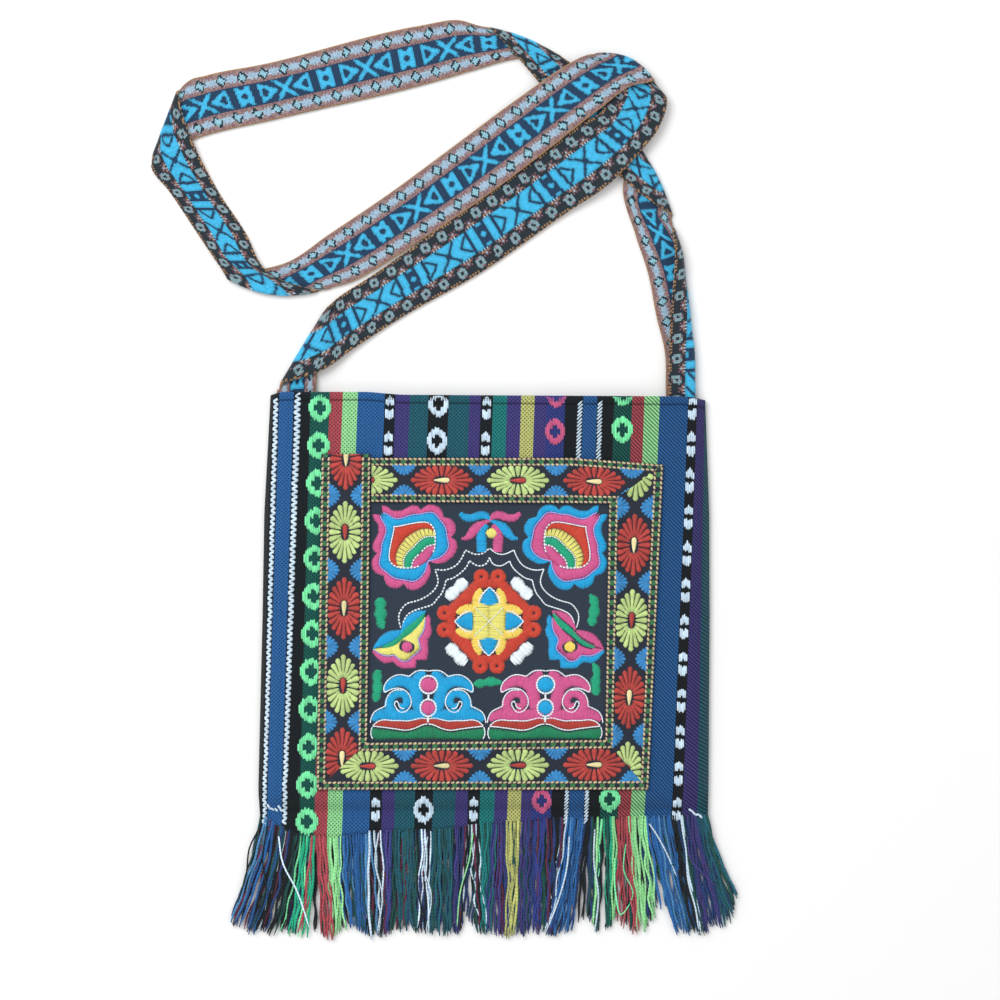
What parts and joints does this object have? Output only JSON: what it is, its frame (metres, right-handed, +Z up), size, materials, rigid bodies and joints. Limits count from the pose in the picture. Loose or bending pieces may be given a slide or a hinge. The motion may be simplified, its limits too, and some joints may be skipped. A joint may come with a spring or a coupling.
{
  "type": "embroidered crossbody bag",
  "caption": "Flat striped handwoven pouch with a fringe, a ribbon-framed embroidered square and a long folded jacquard strap, laid on its back with the mouth open.",
  "frame": {"origin": "on the supporting surface under the middle of the pouch, at the back panel's flat outer face", "axes": "+Z up from the surface through the front face, +Y from the fringe to the mouth and strap, +X to the right as seen from the front"},
  "size_m": [0.3222, 0.5067, 0.0118],
  "materials": {
    "striped_cloth": "warp-striped twill cotton with woven motifs",
    "embroidery": "satin-stitch embroidery on dark cloth",
    "flower_ribbon": "jacquard woven ribbon",
    "strap_webbing": "jacquard woven webbing",
    "fringe_yarn": "loose cotton yarn"
  },
  "bodies": {
    "root": {"back_panel": "striped_cloth", "front_panel": "striped_cloth", "embroidered_patch": "embroidery", "ribbon_border": "flower_ribbon", "strap": "strap_webbing", "front_fringe": "fringe_yarn", "back_fringe": "fringe_yarn"}
  },
  "joints": []
}
